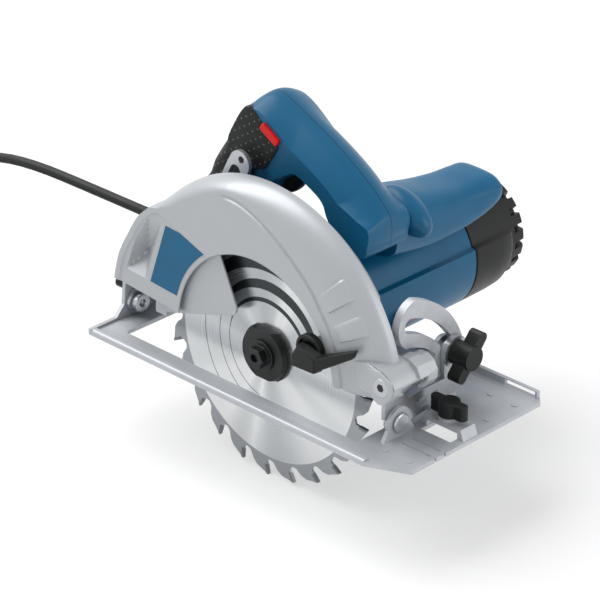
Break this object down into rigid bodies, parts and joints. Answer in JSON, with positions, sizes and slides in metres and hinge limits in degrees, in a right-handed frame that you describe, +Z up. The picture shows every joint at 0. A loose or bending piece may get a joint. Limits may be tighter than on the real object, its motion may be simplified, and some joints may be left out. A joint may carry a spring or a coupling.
{
  "type": "circular saw",
  "caption": "Corded hand-held circular saw with a tilting sole, depth hinge, swinging lower guard, geared motor, closed rear handle and front hand rest.",
  "frame": {"origin": "on the underside of the sole, straight under the blade's axis and halfway across the sole's width", "axes": "+X is the cutting direction, +Y goes from the blade to the motor, +Z is up from the sole"},
  "size_m": [0.6097, 0.2957, 0.2589],
  "materials": {
    "sole_steel": "pressed and zinc coated",
    "guard_alloy": "cast and silver painted",
    "zinc_steel": "zinc plated",
    "blade_steel": "ground and brushed",
    "carbide": "ground",
    "blue_plastic": "moulded, satin",
    "black_plastic": "moulded, fine texture",
    "red_plastic": "moulded, glossy",
    "grip_rubber": "soft, dotted",
    "cord_rubber": "smooth rubber",
    "label_blue": "printed film, bare",
    "gear_steel": "hardened",
    "black_steel": "turned and black oxide",
    "core_steel": "laminated",
    "copper": "enamelled wire",
    "carbon": "sintered",
    "bronze": "sintered"
  },
  "bodies": {
    "base": {"base_plate": "sole_steel", "front_bevel_quadrant": "sole_steel", "front_pivot_rivet": "zinc_steel", "rear_pivot_bolt": "zinc_steel"},
    "fence_bolt": {"fence_wing_bolt": "black_plastic"},
    "tilt_frame": {"front_tilt_bracket": "zinc_steel", "depth_arc": "zinc_steel", "depth_pivot_bolt": "zinc_steel", "front_bevel_bolt": "zinc_steel", "front_bevel_washer": "zinc_steel", "rear_bevel_bolt": "zinc_steel"},
    "bevel_knob": {"front_bevel_knob": "black_plastic"},
    "bevel_lever": {"rear_bevel_lever": "black_plastic"},
    "saw_body": {"upper_guard": "guard_alloy", "label_plate": "label_blue", "guard_screws": "zinc_steel", "guard_spring": "zinc_steel", "gear_housing": "guard_alloy", "bearing_plate": "guard_alloy", "spindle_bearing": "gear_steel", "spindle_bush": "bronze", "motor_housing": "blue_plastic", "end_cap": "black_plastic", "stator": "core_steel", "field_coils": "copper", "brush_holders": "black_plastic", "carbon_brushes": "carbon", "armature_bearings": "gear_steel", "case_screws": "zinc_steel", "grip_cover": "grip_rubber", "front_handle": "blue_plastic", "trigger_pin": "zinc_steel", "switch_module": "black_plastic", "cord_gland": "black_plastic", "depth_clamp_bolt": "zinc_steel", "handle_left_shell": "blue_plastic", "handle_right_shell": "blue_plastic", "cord_lead": "cord_rubber", "cord_coil": "cord_rubber", "cord_tie": "black_plastic", "plug_body": "black_plastic", "plug_pins": "zinc_steel"},
    "clamp_lever": {"depth_clamp_lever": "black_plastic"},
    "blade": {"saw_blade": "blade_steel", "carbide_tips": "carbide", "drive_gear": "gear_steel", "spindle": "gear_steel", "inner_flange": "gear_steel", "outer_flange": "black_steel", "blade_bolt": "black_steel"},
    "armature": {"drive_pinion": "gear_steel", "armature_shaft": "gear_steel", "armature_core": "core_steel", "commutator": "copper", "cooling_fan": "black_plastic"},
    "lower_guard": {"lower_guard": "guard_alloy", "guard_lever": "black_plastic"},
    "trigger": {"trigger": "black_plastic"},
    "lock_off": {"lock_off_button": "red_plastic"},
    "spindle_lock": {"spindle_lock_button": "red_plastic"}
  },
  "joints": [
    {"name": "fence_clamp", "type": "hinge", "parent": "base", "child": "fence_bolt", "pos_m": [0.131, -0.0015, 0.015], "axis": [0, 0, 1], "range_deg": [0, 360]},
    {"name": "bevel_tilt", "type": "hinge", "parent": "base", "child": "tilt_frame", "pos_m": [0, -0.031, 0.013], "axis": [1, 0, 0], "range_deg": [0, 45]},
    {"name": "bevel_knob_turn", "type": "hinge", "parent": "tilt_frame", "child": "bevel_knob", "pos_m": [0.1177, 0.02551, 0.04305], "axis": [1, 0, 0], "range_deg": [0, 270]},
    {"name": "bevel_lever_turn", "type": "hinge", "parent": "tilt_frame", "child": "bevel_lever", "pos_m": [-0.15, -0.01722, 0.02831], "axis": [1, 0, 0], "range_deg": [-70, 0]},
    {"name": "cutting_depth", "type": "hinge", "parent": "tilt_frame", "child": "saw_body", "pos_m": [0.116, -0.037, 0.047], "axis": [0, 1, 0], "range_deg": [0, 34]},
    {"name": "clamp_lever_turn", "type": "hinge", "parent": "saw_body", "child": "clamp_lever", "pos_m": [-0.0706, -0.0087, 0.02409], "axis": [0, 1, 0], "range_deg": [0, 30]},
    {"name": "blade_spin", "type": "hinge", "parent": "saw_body", "child": "blade", "pos_m": [0, -0.037, 0.025], "axis": [0, -1, 0], "continuous": true},
    {"name": "armature_spin", "type": "hinge", "parent": "saw_body", "child": "armature", "pos_m": [0.00401, 0.063, 0.05119], "axis": [0, -1, 0], "continuous": true},
    {"name": "lower_guard_swing", "type": "hinge", "parent": "saw_body", "child": "lower_guard", "pos_m": [0, -0.037, 0.025], "axis": [0, -1, 0], "range_deg": [0, 155], "stiffness_Nm_per_rad": 0.25, "springref_deg": 171.89},
    {"name": "trigger_pull", "type": "hinge", "parent": "saw_body", "child": "trigger", "pos_m": [-0.012, 0.01, 0.145], "axis": [0, 1, 0], "range_deg": [0, 7], "stiffness_Nm_per_rad": 2, "springref_deg": -2.86},
    {"name": "lock_off_press", "type": "slide", "parent": "saw_body", "child": "lock_off", "axis": [0, 1, 0], "range_m": [0, 0.003], "stiffness_N_per_m": 800, "springref_m": -0.001},
    {"name": "spindle_lock_press", "type": "slide", "parent": "saw_body", "child": "spindle_lock", "axis": [-1, 0, 0], "range_m": [0, 0.003], "stiffness_N_per_m": 800, "springref_m": -0.001}
  ],
  "couplings": [
    {"joint": "armature_spin", "follows": "blade_spin", "ratio": -3.0769}
  ]
}
